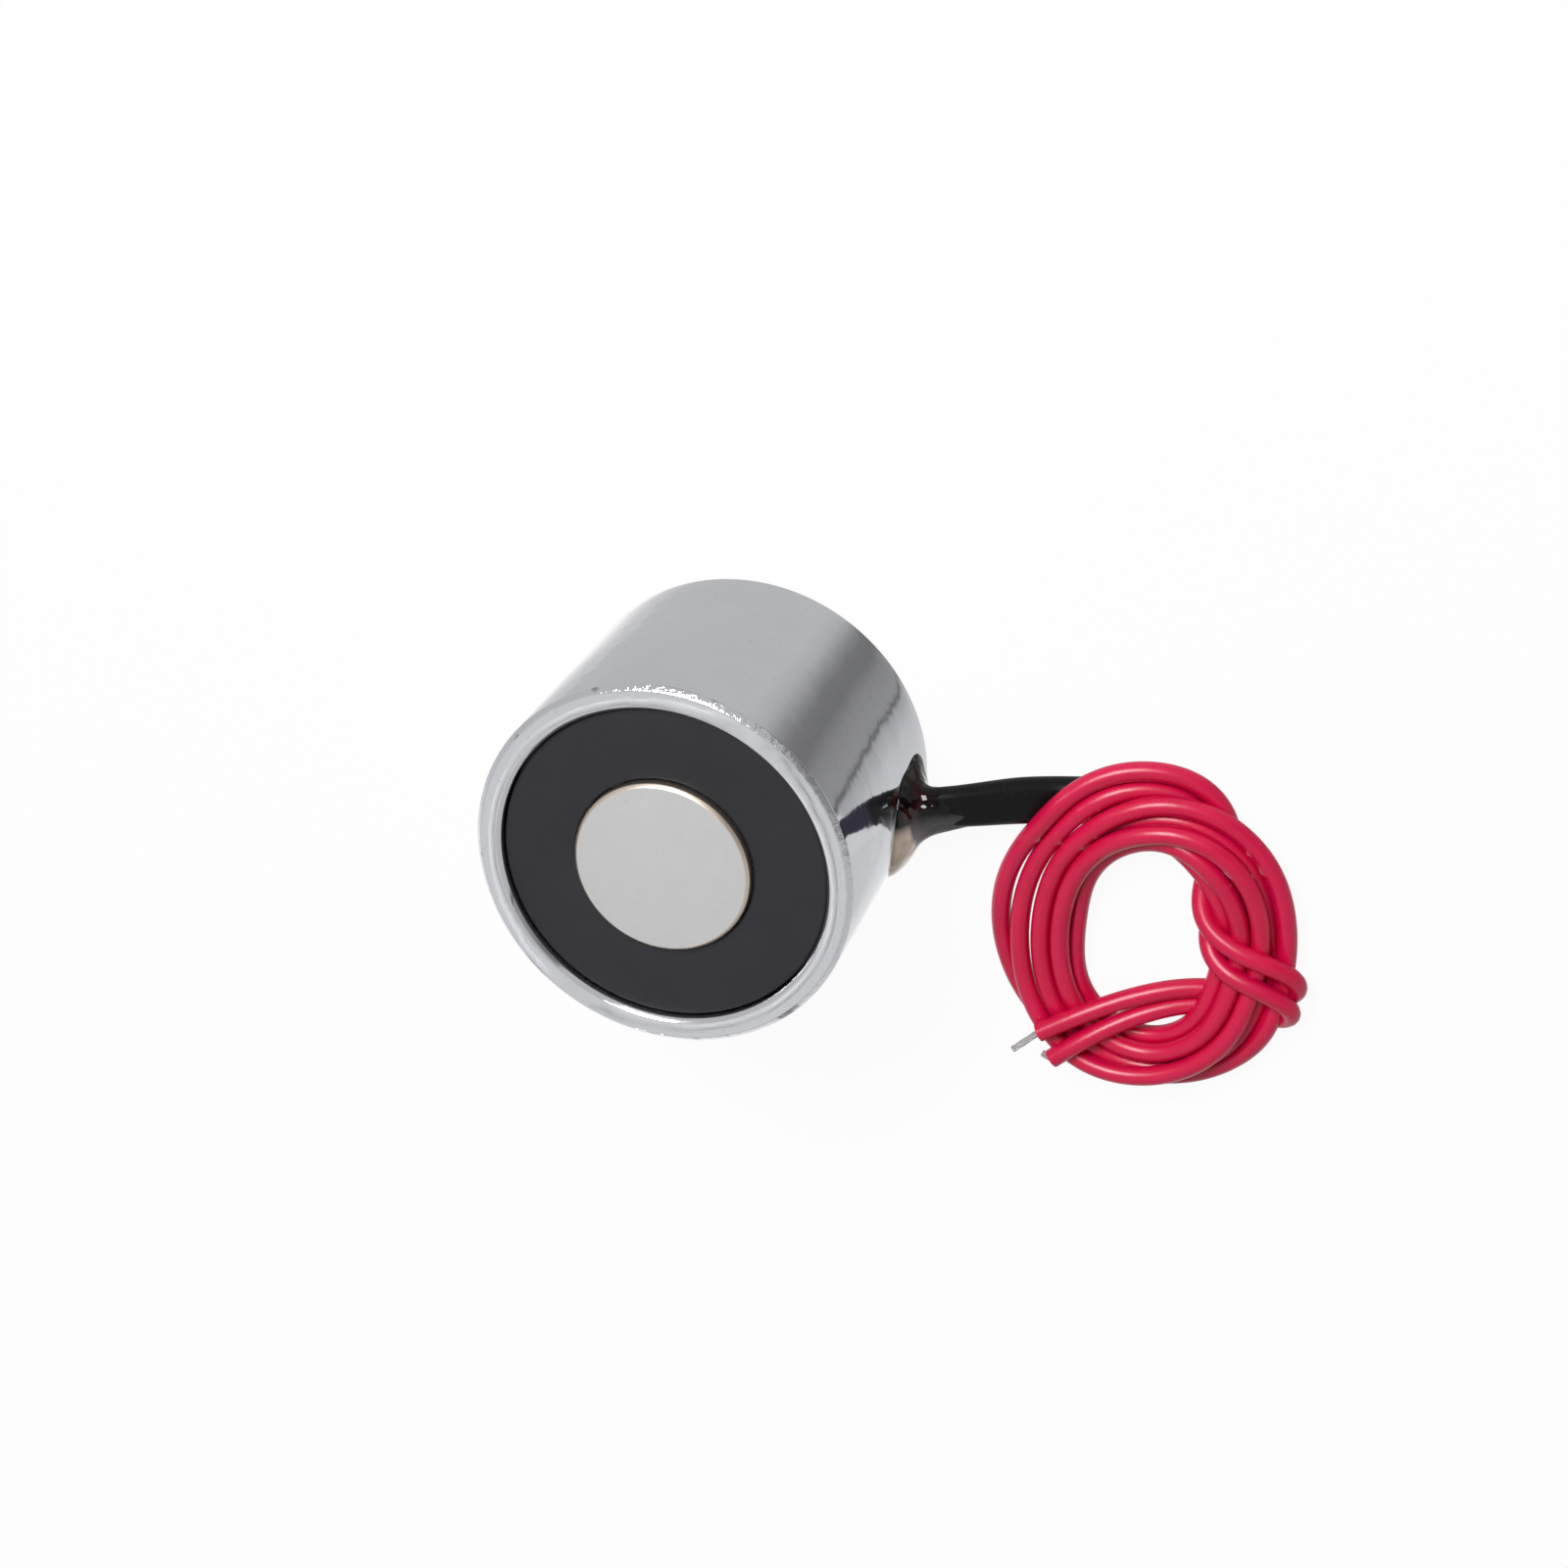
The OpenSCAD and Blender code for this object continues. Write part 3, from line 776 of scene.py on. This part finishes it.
print("leads:", round(pathLength(paths[0]), 4), round(pathLength(paths[1]), 4))

for piece in (shell, core, thread, faceRing, sealBead, sleeve, leadA, leadB, tipA, tipB):
    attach(piece, "root")

kept = {
    "bobbin": "bobbin", "winding": "copper", "winding_tape": "tape", "splice_a": "sleeve",
    "splice_b": "sleeve", "potting_resin": "potting"}
for name, finish in kept.items():
    nodes[name].data.materials.clear()
    nodes[name].data.materials.append(finishes[finish])
print("slots and kept solids")

view = {
    "eye": (62.81, 102.47, 198.84), "right": (0.9534, 0.0250, -0.3006), "up": (-0.1572, 0.8916, -0.4246),
    "lens": 65.25, "sensor": 36.0}


def makeCamera(s):
    data = bpy.data.cameras.new("camera")
    data.lens = s["lens"]
    data.sensor_width = s["sensor"]
    data.clip_start = 0.01
    camera = addObject("camera", data)
    right = Vector(s["right"]).normalized()
    back = right.cross(Vector(s["up"])).normalized()
    up = back.cross(right)
    turn = Matrix((right, up, back)).transposed()
    camera.matrix_world = Matrix.Translation(Vector(s["eye"]) * mm) @ turn.to_4x4()
    bpy.context.scene.camera = camera


lamps = {  # place and size in metres, power in watts
    "key": {"place": (-0.12, 0.45, 0.55), "size": 0.30, "power": 4.9},
    "fill": {"place": (-0.21, -0.37, 0.70), "size": 0.60, "power": 0.18},
    "glint": {"place": (0.72, 0.29, 0.27), "size": 0.18, "power": 2.0}}
lampAim = Vector((0.01, 0.0, 0.01))


def makeLamp(name, s, only=None):
    data = bpy.data.lights.new(name, "AREA")
    data.shape = "SQUARE"
    data.size = s["size"]
    data.energy = s["power"]
    lamp = addObject(name, data)
    lamp.location = s["place"]
    lamp.rotation_euler = (lampAim - Vector(s["place"])).to_track_quat("-Z", "Y").to_euler()
    if only:
        lamp.light_linking.receiver_collection = bpy.data.collections.new(name)
        lamp.light_linking.receiver_collection.objects.link(only)


def stageSheet(name, bm, board, front):  # clear from behind
    clear = board.node("ShaderNodeBsdfTransparent")
    behind = board.node("ShaderNodeNewGeometry", output="Backfacing")
    mixed = board.node("ShaderNodeMixShader", None, [behind, front, clear])
    board.tree.links.new(mixed.socket, board.tree.nodes["Material Output"].inputs["Surface"])
    board.tree.nodes.remove(board.surface)
    mesh = meshFrom(name, bm)
    mesh.materials.append(board.owner)
    sheet = addObject(name, mesh)
    return sheet


ground = {"size": 3.0, "drop": 0.02, "colour": grey(0.82), "glow": 0.94}


def makeFloor(s):
    bm = bmesh.new()
    place = Matrix.Translation((0.0, 0.0, -s["drop"] * mm))
    bmesh.ops.create_grid(bm, x_segments=1, y_segments=1, size=s["size"], matrix=place)
    board = newBoard("floor_white")
    diffuse = board.node("ShaderNodeBsdfDiffuse", None, {"Color": (*s["colour"], 1.0)})
    glow = board.node("ShaderNodeEmission", None, {"Color": (1.0, 1.0, 1.0, 1.0), "Strength": 1.0})
    seen = board.node("ShaderNodeLightPath", output="Is Camera Ray")
    front = board.node("ShaderNodeMixShader", None, [seen * s["glow"], diffuse, glow])
    floor = stageSheet("floor", bm, board, front)
    floor.visible_glossy = False


studio = {
    "above": 0.58, "shade": 0.50, "flag": 0.70, "flagFrom": (0.475, 0.50), "flagTo": (0.66, 0.62),
    "blur": 0.15, "front": (0.5225, 0.853), "stripNear": (-0.35, -0.40), "stripFar": (-0.70, -0.65),
    "stripScale": 5.0,
    "ceiling": [  # brightness across the strip that the rim mirrors
        (0.22, 0.58), (0.30, 0.88), (0.36, 0.88), (0.42, 0.58), (0.57, 0.58), (0.62, 0.26), (0.68, 0.26),
        (0.74, 0.58)],
    "below": [  # brightness round the horizon, from -180 to 180 degrees
        (0.03, 0.66), (0.08, 0.90), (0.11, 1.05), (0.15, 0.85), (0.19, 1.10), (0.28, 0.81), (0.39, 0.69),
        (0.44, 0.64), (0.475, 0.50), (0.494, 0.42), (0.498, 0.14), (0.503, 0.14), (0.507, 0.32), (0.52, 0.34),
        (0.56, 0.30), (0.59, 0.20), (0.62, 0.22), (0.64, 0.32), (0.67, 0.53), (0.70, 0.59), (0.97, 0.58)]}


def makeWorld(s):
    board = Board(bpy.data.worlds.new("world"), "Background", "Generated")
    x, y, z = board.axes()
    around = board.node("ShaderNodeMath", {"operation": "ARCTAN2"}, [y, x])
    share = around * (0.5 / math.pi) + 0.5
    below = board.ramp(share, [(place, grey(level)) for place, level in s["below"]])
    flag = board.span(share, *s["flagFrom"]) * board.span(share, *s["flagTo"])  # the dark side stands higher
    upper = board.span(z - s["flag"] * flag, -s["blur"], s["blur"])
    seen = board.node("ShaderNodeLightPath", output="Is Camera Ray")
    matt = board.node("ShaderNodeLightPath", output="Is Diffuse Ray")
    frontX, frontY = s["front"]
    across = frontY * x - frontX * y
    along = frontX * x + frontY * y
    strip = board.span(along, *s["stripNear"]) * board.span(along, *s["stripFar"])
    stops = [(place, grey(level)) for place, level in s["ceiling"]]
    ceiling = board.ramp(across * s["stripScale"] + 0.5, stops)
    ceiling = board.mix(strip, (*grey(s["above"]), 1.0), ceiling)
    colour = board.mix(upper, below, ceiling)
    board.finish(Color=board.mix(seen, colour, (1.0, 1.0, 1.0, 1.0)), Strength=1.0 - s["shade"] * matt)
    bpy.context.scene.world = board.owner


cards = {  # painted reflections, glowing sheets that mirrors alone see: white over the ring in place of its red, dark in line with the sleeve, hoods round the ring
    "height": 4.9,
    "white": [(19.4, -24.0), (34.0, -24.0), (34.0, 3.9), (23.0, -0.1), (21.1, -0.8), (19.4, -1.2)],
    "dark": [(21.1, -0.8), (23.0, -0.1), (34.0, 3.9), (34.0, 7.0), (23.3, 3.7), (21.6, 3.1)],
    "hoods": [((34.4, -13.2, 2.7), (28.2, 21.6, 5.4)), ((35.4, 1.2, 2.4), (11.6, 8.8, 4.8))],  # middle, size
    "whiteColour": grey(0.72), "darkColour": (0.040, 0.038, 0.055), "hoodsColour": grey(0.68)}


def makeCard(name, s):
    bm = bmesh.new()
    if name == "hoods":
        for middle, size in s[name]:
            place = Matrix.Translation(Vector(middle) * mm) @ Matrix.Diagonal((*(Vector(size) * mm), 1.0))
            bmesh.ops.create_cube(bm, size=1.0, matrix=place)
    else:
        bm.faces.new([bm.verts.new((x * mm, y * mm, s["height"] * mm)) for x, y in s[name]])
    board = newBoard(name + "_card")
    glow = board.node("ShaderNodeEmission", None, {"Color": (*s[name + "Colour"], 1.0), "Strength": 1.0})
    card = stageSheet(name + "_card", bm, board, glow)
    card.visible_camera = False
    card.visible_diffuse = False
    card.visible_shadow = False


makeCamera(view)
makeFloor(ground)
makeWorld(studio)
makeLamp("key", lamps["key"])
makeLamp("fill", lamps["fill"])
makeLamp("glint", lamps["glint"], sealBead)
for name in ("white", "dark", "hoods"):
    makeCard(name, cards)
bpy.context.scene.view_settings.view_transform = "Standard"
print("camera, floor and lamps")
